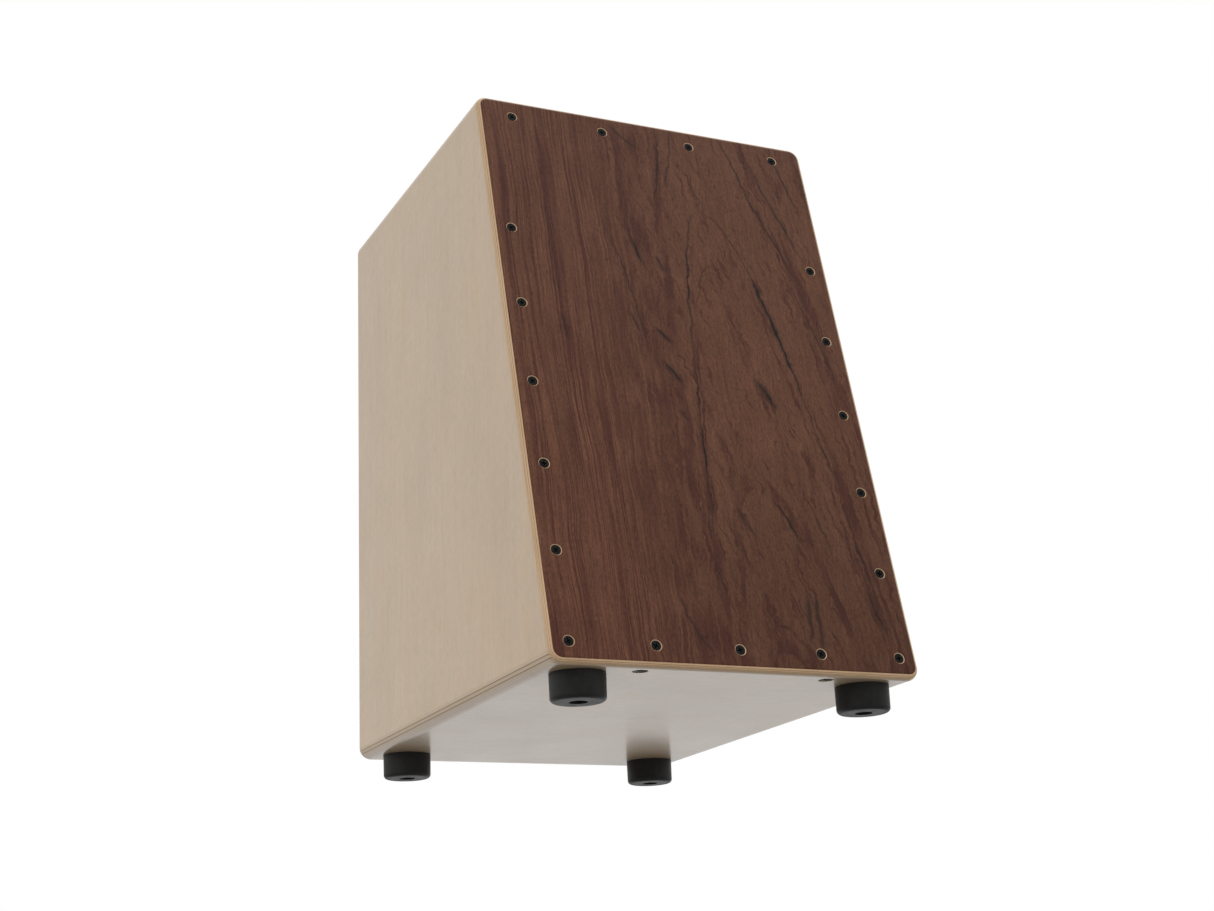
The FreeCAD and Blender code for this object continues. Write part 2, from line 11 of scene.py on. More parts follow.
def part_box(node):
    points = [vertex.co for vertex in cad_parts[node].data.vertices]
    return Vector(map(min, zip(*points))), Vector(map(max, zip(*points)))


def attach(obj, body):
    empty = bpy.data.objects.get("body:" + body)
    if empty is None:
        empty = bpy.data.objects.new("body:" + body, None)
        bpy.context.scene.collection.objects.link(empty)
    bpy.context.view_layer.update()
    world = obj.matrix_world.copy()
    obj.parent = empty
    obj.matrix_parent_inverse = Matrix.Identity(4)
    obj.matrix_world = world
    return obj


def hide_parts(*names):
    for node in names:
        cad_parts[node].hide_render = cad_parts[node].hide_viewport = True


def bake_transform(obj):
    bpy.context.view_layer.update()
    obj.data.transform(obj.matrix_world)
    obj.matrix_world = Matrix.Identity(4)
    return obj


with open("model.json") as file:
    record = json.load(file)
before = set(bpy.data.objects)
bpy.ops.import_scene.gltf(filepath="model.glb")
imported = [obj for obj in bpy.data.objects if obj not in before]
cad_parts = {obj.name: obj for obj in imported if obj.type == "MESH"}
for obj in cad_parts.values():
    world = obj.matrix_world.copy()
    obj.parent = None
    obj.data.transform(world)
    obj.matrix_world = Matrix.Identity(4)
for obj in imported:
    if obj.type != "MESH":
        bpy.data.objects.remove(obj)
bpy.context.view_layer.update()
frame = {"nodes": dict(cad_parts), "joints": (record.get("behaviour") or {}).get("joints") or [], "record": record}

MM = 0.001


# ---------------------------------------------------------------- places, read from the frame


def joint(name):
    return next(found for found in frame["joints"] if found["name"] == name)


def points_of(node):
    """A CAD node's vertices at rest."""
    return np.array([vertex.co for vertex in frame["nodes"][node].data.vertices], float)


# The front plate leans back along this direction, which is also the way the tension screws point.
SLOPE = Vector(joint("carriage_left_slide")["axis"]).normalized()
INTO_PLATE = Vector((0, SLOPE.z, -SLOPE.y))
LEAN = math.atan2(SLOPE.y, SLOPE.z)
FOOT_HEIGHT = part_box("bottom_panel")[0].z
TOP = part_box("seat_panel")[1].z
HALF_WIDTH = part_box("side_panel_right")[1].x
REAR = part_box("back_panel")[1].y

plate_depth = min(INTO_PLATE.dot(Vector(point)) for point in points_of("front_plate"))
# Where the plane of the plate's face meets the plane of the underside.
PLATE_FOOT = Vector((0, (plate_depth + SLOPE.y * FOOT_HEIGHT) / SLOPE.z, FOOT_HEIGHT))


# ---------------------------------------------------------------- shader building


def srgb(red, green, blue):
    """A colour given as 0 to 255 display values, as the linear colour that shaders use."""
    def linear(value):
        value /= 255
        return value / 12.92 if value <= 0.04045 else ((value + 0.055) / 1.055) ** 2.4

    return (linear(red), linear(green), linear(blue), 1.0)


class Field:
    """A number that varies over a surface. Arithmetic on it adds Math nodes."""

    def __init__(self, shader, socket):
        self.shader = shader
        self.socket = socket

    def __add__(self, other):
        return self.shader.math("ADD", self, other)

    __radd__ = __add__

    def __sub__(self, other):
        return self.shader.math("SUBTRACT", self, other)

    def __rsub__(self, other):
        return self.shader.math("SUBTRACT", other, self)

    def __mul__(self, other):
        return self.shader.math("MULTIPLY", self, other)

    def __truediv__(self, other):
        return self.shader.math("DIVIDE", self, other)

    def __rtruediv__(self, other):
        return self.shader.math("DIVIDE", other, self)

    def __pow__(self, power):
        return self.shader.math("POWER", self, power)

    def __abs__(self):
        return self.shader.math("ABSOLUTE", self)

    def least(self, limit):
        """The field, nowhere under limit."""
        return self.shader.math("MAXIMUM", self, limit)

    def most(self, limit):
        return self.shader.math("MINIMUM", self, limit)

    def sine(self):
        return self.shader.math("SINE", self)

    def ramp(self, start, end, low=0.0, high=1.0):
        """Goes smoothly from low to high as the field goes from start to end."""
        return self.shader.smooth(self, start, end, low, high)


class Shader:
    """One material's node tree. Positions are in millimetres, in a frame with its own place and lean."""

    def __init__(self, name, place=(0, 0, 0), lean=0.0):
        self.material = bpy.data.materials.new(name)
        self.material.use_nodes = True
        self.tree = self.material.node_tree
        self.tree.nodes.clear()
        coordinates = self.node("TexCoord")
        self.normal = coordinates.outputs["Normal"]
        self.position = self.node(
            "Mapping",
            vector_type="TEXTURE",
            inputs={
                "Vector": coordinates.outputs["Object"],
                "Location": place,
                "Rotation": (-lean, 0, 0),
                "Scale": (MM, MM, MM),
            },
        ).outputs[0]
        self.x, self.y, self.z = self.split(self.position)

    @classmethod
    def of_tree(cls, tree):
        """A builder for a tree that has no material, such as the world's."""
        made = cls.__new__(cls)
        made.tree = tree
        tree.nodes.clear()
        return made

    def node(self, kind, inputs=None, **settings):
        made = self.tree.nodes.new("ShaderNode" + kind)
        for name, value in settings.items():
            setattr(made, name, value)
        for name, value in (inputs or {}).items():
            self.feed(made.inputs[name], value)
        return made

    def feed(self, socket, value):
        """Links a field or a socket, or sets a plain value."""
        if isinstance(value, Field):
            value = value.socket
        if isinstance(value, bpy.types.NodeSocket):
            self.tree.links.new(value, socket)
        else:
            socket.default_value = value

    def field(self, socket):
        return Field(self, socket)

    def split(self, vector):
        return [self.field(out) for out in self.node("SeparateXYZ", {"Vector": vector}).outputs]

    def math(self, operation, *values):
        made = self.node("Math", operation=operation)
        for socket, value in zip(made.inputs, values):
            self.feed(socket, value)
        return self.field(made.outputs[0])

    def smooth(self, value, start, end, low, high):
        made = self.node("MapRange", interpolation_type="SMOOTHSTEP")
        for socket, given in zip(made.inputs, (value, start, end, low, high)):
            self.feed(socket, given)
        return self.field(made.outputs[0])

    def vector(self, x, y, z):
        return self.node("CombineXYZ", {"X": x, "Y": y, "Z": z}).outputs[0]

    def noise(self, x, y, z, detail=2.0, roughness=0.5):
        """Noise about 0, mostly within 0.5 of it, with features one unit across."""
        made = self.node(
            "TexNoise",
            {"Vector": self.vector(x, y, z), "Scale": 1.0, "Detail": detail, "Roughness": roughness},
        )
        return (self.field(made.outputs["Fac"]) - 0.5) * 2

    def specks(self, x, y, z, size):
        """1 in the middle of scattered round specks, one for each unit cell, and 0 outside their radius."""
        made = self.node("TexVoronoi", {"Vector": self.vector(x, y, z), "Scale": 1.0})
        return self.field(made.outputs["Distance"]).ramp(size, 0.0)

    def mix(self, first, second, share):
        """From the first colour, at share 0, to the second, at share 1."""
        made = self.node("Mix", data_type="RGBA", clamp_factor=True)
        self.feed(made.inputs["Factor"], share)
        self.feed(made.inputs[6], first)
        self.feed(made.inputs[7], second)
        return made.outputs[2]

    def shade(self, colour, share):
        """The colour, times share."""
        made = self.node("Mix", data_type="RGBA", blend_type="MULTIPLY", clamp_factor=False)
        made.inputs["Factor"].default_value = 1.0
        self.feed(made.inputs[6], colour)
        self.feed(made.inputs[7], self.vector(share, share, share))
        return made.outputs[2]

    def facing(self, direction):
        """How squarely the surface faces along direction, either way: 0 to 1."""
        made = self.node("VectorMath", {0: self.normal, 1: direction}, operation="DOT_PRODUCT")
        return abs(self.field(made.outputs["Value"]))

    def bump(self, height, depth):
        """Relief of that depth in millimetres, where height goes from 0 to 1."""
        return self.node("Bump", {"Height": height, "Distance": depth * MM, "Strength": 1.0}).outputs[0]

    def finish(self, colour, roughness, relief=None, relief_depth=0.0, **constants):
        """Ends the tree in a principled shader. The constants are its own sockets, by name."""
        inputs = {"Base Color": colour, "Roughness": roughness}
        if relief is not None:
            inputs["Normal"] = self.bump(relief, relief_depth)
        inputs.update({name.replace("_", " "): value for name, value in constants.items()})
        surface = self.node("BsdfPrincipled", inputs)
        self.node("OutputMaterial", {"Surface": surface.outputs[0]})
        return self.material


def paint(node, material):
    """Gives a carried-over CAD node its material."""
    slots = frame["nodes"][node].data.materials
    slots.clear()
    slots.append(material)


# ---------------------------------------------------------------- wood

BIRCH = srgb(192, 167, 136)
BIRCH_WARM = srgb(193, 163, 124)
BIRCH_GREY = srgb(181, 157, 129)
BIRCH_END = srgb(186, 150, 110)
BIRCH_CUT = srgb(214, 190, 158)
GLUE_LINE = srgb(66, 46, 34)

X, Y, Z = (1, 0, 0), (0, 1, 0), (0, 0, 1)

PANEL = 9.0  # how thick the sides, the seat and the bottom are, in millimetres
BACK = 4.0  # and the back panel


def birch_face(shader, across, along, seed):
    """Rotary-cut birch: its colour, and its grain as a relief from 0 to 1."""
    cloud = shader.noise(across / 70, along / 190, seed)
    drift = shader.noise(across / 30, along / 140, seed + 3)
    streaks = shader.noise(across / 2.2 + drift * 3, along / 90, seed + 7, detail=4, roughness=0.7)
    bands = shader.noise(across / 9 + drift * 2, along / 260, seed + 11)
    figure = (across / 5.5 + drift * 9).sine() * shader.noise(across / 60, along / 80, seed + 5)
    fibres = shader.noise(across / 1.3, along / 5, seed + 15, detail=3, roughness=0.7)
    pores = shader.noise(across / 0.9, along / 6, seed + 13, detail=1).ramp(0.3, 0.6)
    smudges = shader.noise(across / 12, along / 16, seed + 17, detail=3).ramp(0.3, 0.7)
    colour = shader.mix(BIRCH, BIRCH_WARM, bands.ramp(-0.1, 0.6, 0.0, 0.7))
    colour = shader.mix(colour, BIRCH_GREY, cloud.ramp(-0.3, 0.5, 0.0, 0.5))
    blotches = shader.noise(across / 8, along / 9, seed + 19, detail=3, roughness=0.6)
    tone = 1.0 + streaks * 0.11 + fibres * 0.17 + blotches * 0.09 + figure * 0.03
    tone = tone - pores * 0.08 - smudges * 0.06
    return shader.shade(colour, tone), streaks * 0.5 + 0.5 - pores * 0.4


# The dark lines between the plies in a cut edge: how deep each is, in millimetres, and how dark.
PANEL_LINES = {1.29: 0.1, 2.57: 0.1, 4.2: 0.75, 5.3: 0.05, 6.75: 0.85, 7.9: 0.12}
BACK_LINES = {0.6: 0.6, 1.5: 0.9, 2.5: 0.7, 3.4: 0.9}


def ply_edges(shader, depth, thickness, dark_lines, face_fibre, cross_fibre, face_colour):
    """Adds what shows where a panel's edge is cut: paler wood, end grain where a ply's fibres meet the
    surface, dark lines between plies, and a faint seam along the panel's inner face."""
    line_half = thickness / 15
    line, parity = 0.0, 0.0
    for line_depth, strength in dark_lines.items():
        line = abs(depth - line_depth).ramp(line_half, 0.05) * strength + line
        parity = abs(depth.ramp(line_depth - 0.01, line_depth + 0.01) - parity)
    face_end = shader.facing(face_fibre)
    cross_end = shader.facing(cross_fibre)
    end_grain = (face_end * (1 - parity) + cross_end * parity).ramp(0.35, 0.8)
    fibres = shader.noise(shader.x / 0.5, shader.y / 0.5, shader.z / 0.5, detail=3)
    cut = (face_end + cross_end).ramp(0.3, 0.9)
    colour = shader.mix(face_colour, BIRCH_CUT, cut * 0.75)
    colour = shader.mix(colour, shader.shade(BIRCH_END, 1 + fibres * 0.25), end_grain * 0.2)
    inside = depth.ramp(0.05, 0.2) * (thickness - depth).ramp(0.05, 0.2)
    colour = shader.mix(colour, GLUE_LINE, line * inside * 0.9)
    seam = (thickness - depth).ramp(0.5, 0.1) * (face_end + cross_end).ramp(0.5, 0.9)
    return shader.mix(colour, GLUE_LINE, seam * 0.25)


def birch_panel(name, panel_depth, face_fibre, cross_fibre, across, along, seed):
    """A lacquered panel. panel_depth, across and along take the shader and give its fields."""
    shader = Shader(name)
    colour, grain = birch_face(shader, across(shader), along(shader), seed)
    depth = panel_depth(shader)
    colour = ply_edges(shader, depth, PANEL, PANEL_LINES, face_fibre, cross_fibre, colour)
    smudge = shader.noise(shader.x / 40, shader.y / 40, shader.z / 40, detail=4)
    return shader.finish(
        colour,
        smudge.ramp(-0.6, 0.6, 0.36, 0.44),
        grain,
        0.02,
        Coat_Weight=0.5,
        Coat_Roughness=0.18,
        IOR=1.5,
    )


def dress_case():
    half = HALF_WIDTH / MM
    low = FOOT_HEIGHT / MM
    top = TOP / MM
    side = birch_panel(
        "birch_side", lambda s: half - abs(s.x), Z, Y, lambda s: s.y, lambda s: s.z, 1.3
    )
    bottom = birch_panel(
        "birch_bottom", lambda s: s.z - low, X, Y, lambda s: s.y, lambda s: s.x, 5.1
    )
    seat = birch_panel(
        "birch_seat", lambda s: top - s.z, X, Y, lambda s: s.y, lambda s: s.x, 9.7
    )
    paint("side_panel_left", side)
    paint("side_panel_right", side)
    paint("bottom_panel", bottom)
    paint("seat_panel", seat)


dress_case()

VENEER = srgb(103, 67, 49)
VENEER_LIGHT = srgb(113, 76, 57)
VENEER_RED = srgb(75, 41, 33)
VENEER_BLACK = srgb(30, 22, 22)
PLATE_PLY = srgb(216, 183, 147)
PLATE_PLY_DARK = srgb(194, 158, 119)
VENEER_DEPTH = 0.35  # how thick the veneer is, in millimetres
PLATE_GLUE_DEPTHS = (1.05, 1.95, 2.65)  # of the glue under it, in millimetres from the plate's face

# The arch in the figure: its peak, and how its two limbs fall away from it, in millimetres on the plate.
ARCH_X = 37
ARCH_UP = 408
LEFT_LIMB = {"side": -1, "width": 40, "fall": 290, "power": 2.5}
RIGHT_LIMB = {"side": 1, "width": 86, "fall": 348, "power": 2.0}
RING_SPACING = 230  # growth from one ring to the next, as height at the middle of the arch

# Dark veins, placed one by one in millimetres on the plate: the upper end and the lower end as X and height,
# how far the middle bows to the right, half the width, and how dark it is.
VEINS = (
    ((-33, 394), (-17, 335), -4, 0.8, 0.55),
    ((-29, 370), (-25, 348), 0, 1.4, 1.0),
    ((-50, 378), (-30, 264), 2, 0.8, 0.6),
    ((-41, 300), (-36, 280), 0, 1.5, 0.7),
    ((-24, 288), (-10, 274), 0, 2.6, 0.9),
    ((-21, 257), (-7, 238), 0, 2.4, 0.9),
    ((-10, 358), (-6, 342), 0, 2.2, 0.7),
    ((-14, 214), (-8, 204), 0, 2.4, 0.5),
    ((9, 478), (-4, 412), 3, 0.9, 0.7),
    ((-31, 486), (-9, 464), -3, 1.8, 0.6),
    ((24, 494), (10, 432), 1, 0.9, 0.65),
    ((57, 251), (71, 222), 1, 3.2, 0.85),
    ((32, 240), (48, 237), 0, 1.4, 0.5),
    ((80, 445), (116, 350), 0, 1.0, 0.85),
    ((92, 474), (127, 372), -2, 1.0, 0.8),
    ((112, 494), (135, 412), 1, 0.9, 0.7),
    ((66, 494), (88, 420), 2, 0.9, 0.75),
    ((108, 346), (133, 244), 2, 0.8, 0.65),
    ((52, 140), (67, 108), 2, 1.3, 0.85),
    ((18, 134), (32, 106), 0, 1.9, 0.6),
    ((41, 158), (42, 144), 3, 0.9, 0.7),
    ((77, 160), (97, 84), 1, 0.8, 0.55),
    ((-43, 66), (-20, 10), -4, 1.0, 0.6),
    ((-10, 96), (2, 40), 0, 0.8, 0.45),
    ((64, 66), (60, 24), 0, 2.2, 0.7),
    ((71, 68), (68, 18), 0, 2.0, 0.7),
    ((115, 74), (128, 28), 0, 1.0, 0.6),
    ((-101, 292), (-98, 266), 0, 1.8, 0.5),
)


def limb(x, up, shape):
    """How far across the plate from one limb of the arch, in millimetres."""
    fallen = (ARCH_UP - up).least(0) / shape["fall"]
    reach = fallen ** (1 / shape["power"]) * (shape["width"] * shape["side"])
    return abs(x - ARCH_X - reach)


def limb_rise(x, shape):
    """How much growth a limb adds at x, and how fast that changes across the plate."""
    share = ((x - ARCH_X) * shape["side"]).least(0) / shape["width"]
    rise = share ** shape["power"] * shape["fall"]
    steepness = share ** (shape["power"] - 1) * (shape["fall"] * shape["power"] / shape["width"])
    return rise, steepness


def vein_darkness(away, half_width):
    """A dark core with a soft, paler halo."""
    ratio = away / half_width
    return ratio.ramp(1.0, 0.1) * 0.62 + ratio.ramp(2.6, 0.3) * 0.38


def vein(x, up, upper, lower, bow, half_width, darkness):
    """One dark vein between two points. It fades at both ends."""
    (upper_x, upper_up), (lower_x, lower_up) = upper, lower
    share = (upper_up - up) / (upper_up - lower_up)
    middle = share * (1 - share) * (4 * bow) + share * (lower_x - upper_x) + upper_x
    ends = share.ramp(-0.12, 0.3) * share.ramp(1.12, 0.7) * darkness
    return vein_darkness(abs(x - middle), half_width) * ends


def veneer(shader):
    """Dark veneer with an arched figure: close straight lines on the left, open wavy ones on the right, and
    painted shade low down on the right.
    """
    x, up = shader.x, shader.z
    slow = shader.noise(x / 60, up / 120, 2.0) * 5
    jagged = shader.noise(x / 14, up / 18, 4.0, detail=3, roughness=0.55)
    wiggle = shader.noise(x / 6, up / 8, 23.0, detail=2)
    openness = x.ramp(-90, 0, 0.15, 1.0)
    drawn_x = x + slow + (jagged * 4.5 + wiggle * 2.2) * openness

    left_rise, left_steepness = limb_rise(drawn_x, LEFT_LIMB)
    right_rise, right_steepness = limb_rise(drawn_x, RIGHT_LIMB)
    age = (up + left_rise + right_rise) / RING_SPACING
    ring_width = RING_SPACING / (left_steepness + right_steepness + 1.2)
    rings = shader.noise(age, up / 1400, 1.0, detail=3, roughness=0.62)
    line_half = (ring_width * 0.13).most(0.75)
    line_gap = abs(rings) * ring_width * 0.55 / line_half
    closeness = x.ramp(-30, -80)  # of the grain on the left
    line_strength = shader.noise(x / 12, up / 40, 7.0).ramp(-0.35, 0.25, 0.1, 1.0)
    lines = line_gap.ramp(1.3, 0.3) * line_strength * (1 - closeness * 0.6)
    leaned_x = x + (up - 250) * 0.25 + slow + jagged * 6 + wiggle * 2.5
    open_lines = abs(shader.noise(leaned_x / 11, up / 170, 35.0, detail=2)).ramp(0.06, 0.015)
    open_lines = open_lines * shader.noise(x / 14, up / 30, 33.0).ramp(-0.25, 0.2)
    lines = lines.least(open_lines * (1 - closeness) * 0.9)

    jagged_x = x + jagged * 2.8 + wiggle * 1.8
    swell = shader.noise(x / 12, up / 22, 27.0).ramp(-0.45, 0.45, 0.5, 1.6)
    left_strength = up.ramp(436, 380, 0.0, 0.6) + up.ramp(300, 330, 0.0, 0.4) * up.ramp(375, 360)
    left_strength = (left_strength + up.ramp(200, 185) * up.ramp(155, 170) * 0.4) * up.ramp(95, 125)
    right_strength = up.ramp(412, 400, 0.0, 0.6) + up.ramp(235, 265, 0.0, 0.4) * up.ramp(350, 335)
    right_strength = right_strength * up.ramp(45, 90)
    right_swell = swell * (up.ramp(235, 265, 0.0, 0.9) * up.ramp(350, 335) + 0.9)
    dark = vein_darkness(limb(jagged_x, up, LEFT_LIMB), swell) * left_strength
    dark = dark.least(vein_darkness(limb(jagged_x, up, RIGHT_LIMB), right_swell) * right_strength)
    for ends_and_size in VEINS:
        dark = dark.least(vein(jagged_x, up, *ends_and_size))

    patches = shader.noise(x / 22, up / 60, 9.0, detail=3)
    close_lines = abs(shader.noise(drawn_x / 3.5, up / 420, 21.0, detail=2)).ramp(0.15, 0.04)
    close_lines = close_lines * shader.noise(x / 8, up / 140, 25.0).ramp(-0.3, 0.2, 0.35, 1.0)
    streaks = shader.noise(drawn_x / 3.0, up / 110, 11.0, detail=4, roughness=0.7)
    fibres = shader.noise(drawn_x / 1.7, up / 18, 13.0, detail=3, roughness=0.7)
    grains = shader.noise(x / 1.7, up / 3.0, 17.0, detail=3, roughness=0.75)
    pores = shader.noise(drawn_x / 1.1, up / 7, 15.0, detail=1).ramp(0.15, 0.4)

    colour = shader.mix(VENEER, VENEER_LIGHT, patches.ramp(-0.3, 0.5) * 0.7)
    colour = shader.mix(colour, VENEER_RED, streaks.ramp(-0.1, 0.4) * (0.36 - closeness * 0.12))
    colour = shader.mix(colour, VENEER_RED, close_lines * (closeness * 0.7 + 0.2))
    colour = shader.mix(colour, VENEER_RED, lines * 0.85)
    colour = shader.mix(colour, VENEER_BLACK, dark)
    # painted shade: the colour is darkened low down on the right of the plate
    painted_low_shade = up.ramp(260, 20) * x.ramp(-90, 60)  # the veneer is darker low down on the right
    broad = shader.noise(drawn_x / 11, up / 260, 19.0, detail=1) * closeness
    tone = 1.0 + fibres * 0.45 + grains * 0.6 - pores * 0.25 + broad * 0.2 + closeness * 0.08
    tone = tone * (1 - painted_low_shade * 0.22)
    return shader.shade(colour, tone.least(0.2)), fibres * 0.3 + 0.7 - pores * 0.7


def dress_front_plate():
    shader = Shader("front_plate_ply", PLATE_FOOT, LEAN)
    depth = shader.y
    face, grain = veneer(shader)
    fibres = shader.noise(shader.x / 1.6, shader.z / 40, depth / 0.3, detail=4, roughness=0.65)
    clouds = shader.noise(shader.x / 35, shader.z / 120, 6.0, detail=2)
    core = shader.mix(PLATE_PLY, PLATE_PLY_DARK, (fibres + clouds * 0.6).ramp(-0.4, 0.7))
    glue = 0.0
    for glue_depth in PLATE_GLUE_DEPTHS:
        glue = abs(depth - glue_depth).ramp(0.14, 0.04) + glue
    core = shader.mix(core, GLUE_LINE, glue * 0.7)
    colour = shader.mix(face, core, depth.ramp(VENEER_DEPTH - 0.06, VENEER_DEPTH + 0.06))
    material = shader.finish(
        colour, 0.45, grain, 0.02, Coat_Weight=0.08, Coat_Roughness=0.25, Specular_IOR_Level=0.25
    )
    paint("front_plate", material)


dress_front_plate()


def dress_back_panel():
    """A thinner sheet of the same birch, with the cut edge of the sound hole."""
    shader = Shader("birch_back")
    depth = REAR / MM - shader.y
    colour, grain = birch_face(shader, shader.x, shader.z, 14.2)
    colour = ply_edges(shader, depth, BACK, BACK_LINES, Z, X, colour)
    smudge = shader.noise(shader.x / 50, shader.z / 50, 3.0, detail=4)
    material = shader.finish(
        colour, smudge.ramp(-0.6, 0.6, 0.36, 0.5), grain, 0.02, Coat_Weight=0.4, Coat_Roughness=0.2
    )
    paint("back_panel", material)


dress_back_panel()

# Each batten and the way its fibres run.
BATTENS = {
    "front_rail_bottom": X,
    "front_rail_top": X,
    "front_stile_left": Z,
    "front_stile_right": Z,
    "back_rail_bottom": X,
    "back_rail_top": X,
    "back_stile_left": Z,
    "back_stile_right": Z,
}

PINE_EARLY = srgb(214, 184, 138)
PINE_LATE = srgb(176, 128, 78)
PINE_END = srgb(170, 128, 84)
RING_MM = 2.6  # from one growth ring to the next


def pine(name, fibre, seed):
    """Sawn softwood. Its growth rings lie round a pith beside the batten, so they are lines on its faces and
    arcs on its ends."""
    place, lean = (PLATE_FOOT, LEAN) if name.startswith("front") else ((0, 0, 0), 0.0)
    shader = Shader("pine_" + name, place, lean)
    axes = [shader.x, shader.y, shader.z]
    along = axes.pop(fibre.index(1))
    first, second = axes
    bend = shader.noise(along / 160, first / 60, second / 60 + seed) * 6
    across = shader.vector(first + bend + 31 + seed * 7, second + bend + 23, 0.0)
    radius = shader.field(shader.node("VectorMath", {0: across}, operation="LENGTH").outputs["Value"])
    ring = shader.math("FRACT", radius / RING_MM + shader.noise(radius / 9, 0.0, seed) * 0.6)
    late = ring.ramp(0.35, 0.93) * ring.ramp(1.0, 0.96)
    fibres = shader.noise(first / 0.5, second / 0.5, along / 25, detail=3)
    saw_marks = (along * 1.9 + first * 0.5).sine() * shader.noise(along / 30, first / 8, seed)
    colour = shader.mix(PINE_EARLY, PINE_LATE, late * 0.75)
    colour = shader.mix(colour, PINE_END, shader.facing(fibre).ramp(0.5, 0.9) * 0.6)
    colour = shader.shade(colour, 1.0 + fibres * 0.14 + saw_marks * 0.04)
    return shader.finish(colour, 0.72, fibres * 0.4 + 0.5 + saw_marks * 0.15, 0.08)


def dress_battens():
    for number, (node, fibre) in enumerate(BATTENS.items()):
        paint(node, pine(node, fibre, number * 1.7))


dress_battens()


# ---------------------------------------------------------------- rubber, metal and nylon


def rubber():
    """Moulded black rubber with a fine matt skin, a little dust and scuffs where it stands."""
    shader = Shader("rubber")
    skin = shader.noise(shader.x / 0.25, shader.y / 0.25, shader.z / 0.25, detail=2)
    mottle = shader.noise(shader.x / 6, shader.y / 6, shader.z / 6, detail=4)
    dust = shader.specks(shader.x / 2.3, shader.y / 2.3, shader.z / 2.3, 0.13)
    standing = shader.z.ramp(2.0, 0.2)
    scuff = standing * shader.noise(shader.x / 1.5, shader.y / 4, 0.0, detail=3).ramp(0.05, 0.5)
    colour = shader.mix(srgb(29, 29, 28), srgb(38, 38, 37), mottle.ramp(-0.4, 0.6))
    colour = shader.mix(colour, srgb(92, 90, 87), (dust * 0.5).least(scuff * 0.3))
    roughness = mottle.ramp(-0.6, 0.6, 0.48, 0.6) + scuff * 0.15
    return shader.finish(colour, roughness, skin * 0.5 + 0.5, 0.012, Specular_IOR_Level=0.35)


def metal(name, colour, worn_colour, roughness, brushed=None, **constants):
    """A metal with faint clouds and fine scratches. brushed is the number of the axis that they run along."""
    shader = Shader(name)
    stretch = [0.35, 0.35, 0.35]
    if brushed is not None:
        stretch[brushed] = 9.0
    scratches = shader.noise(
        shader.x / stretch[0], shader.y / stretch[1], shader.z / stretch[2], detail=3, roughness=0.6
    )
    clouds = shader.noise(shader.x / 5, shader.y / 5, shader.z / 5, detail=3)
    tinted = shader.mix(colour, worn_colour, clouds.ramp(-0.4, 0.6) * 0.5)
    tinted = shader.shade(tinted, 1.0 + scratches * 0.12)
    return shader.finish(
        tinted,
        (scratches * 0.18 + clouds * 0.1 + roughness).most(0.9),
        scratches * 0.5 + 0.5,
        0.006,
        **constants,
    )


def nylon():
    shader = Shader("nylon")
    cloud = shader.noise(shader.x / 3, shader.y / 3, shader.z / 3, detail=3)
    colour = shader.mix(srgb(226, 222, 208), srgb(206, 200, 182), cloud.ramp(-0.4, 0.5))
    return shader.finish(colour, 0.42, cloud * 0.5 + 0.5, 0.01, Subsurface_Weight=0.15)


def string_steel():
    """Close-wound steel wire, with a fine rib for each turn and painted shade in the groove between turns."""
    shader = Shader("string_steel")
    rib_spacing = 0.4
    ribs_and_groove_shade = (shader.z * (math.tau / rib_spacing)).sine() * 0.5 + 0.5
    cloud = shader.noise(shader.x / 2, shader.y / 2, shader.z / 14, detail=3)
    colour = shader.mix(srgb(196, 195, 190), srgb(166, 160, 146), cloud.ramp(-0.2, 0.5))
    # painted shade: besides the relief, the colour darkens in the groove between turns
    colour = shader.shade(colour, ribs_and_groove_shade * 0.25 + 0.78)
    return shader.finish(colour, cloud.ramp(-0.5, 0.5, 0.22, 0.4), ribs_and_groove_shade, 0.04, Metallic=1.0)


SLOT_MATERIALS = {
    "foot_rubber": rubber(),
    "black_steel": metal("black_steel", srgb(34, 34, 35), srgb(50, 49, 47), 0.4, Metallic=0.6),
    "zinc_steel": metal("zinc", srgb(196, 198, 198), srgb(170, 168, 158), 0.3, Metallic=1.0),
    "carriage_aluminium": metal(
        "aluminium", srgb(208, 209, 211), srgb(190, 191, 194), 0.32, brushed=0, Metallic=1.0
    ),
    "brass": metal("brass", srgb(214, 178, 104), srgb(188, 146, 78), 0.28, Metallic=1.0),
    "nylon": nylon(),
    "string_steel": string_steel(),
}
SLOT_OF_NODE = {part["node"]: part["material_slot"] for part in frame["record"]["subparts"]}
for node, slot in SLOT_OF_NODE.items():
    if slot in SLOT_MATERIALS:
        paint(node, SLOT_MATERIALS[slot])


# ---------------------------------------------------------------- screws and strings, in finer detail


def body_with(node):
    bodies = frame["record"]["behaviour"]["bodies"]
    return next(body for body, members in bodies.items() if node in members)


def add_piece(name, parts, stands_for, smooth_under=40):
    """One mesh made of parts, each a list of points and a list of faces, in place of a CAD node."""
    points, faces = [], []
    for part_points, part_faces in parts:
        faces += [tuple(corner + len(points) for corner in face) for face in part_faces]
        points += part_points
    mesh = bpy.data.meshes.new(name)
    mesh.from_pydata(points, [], faces)
    mesh.shade_smooth()
    mesh.set_sharp_from_angle(angle=math.radians(smooth_under))
    slot_name = SLOT_OF_NODE[stands_for]
    mesh.materials.append(SLOT_MATERIALS[slot_name])
    piece = bpy.data.objects.new(name, mesh)
    bpy.context.scene.collection.objects.link(piece)
    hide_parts(stands_for)
    return piece


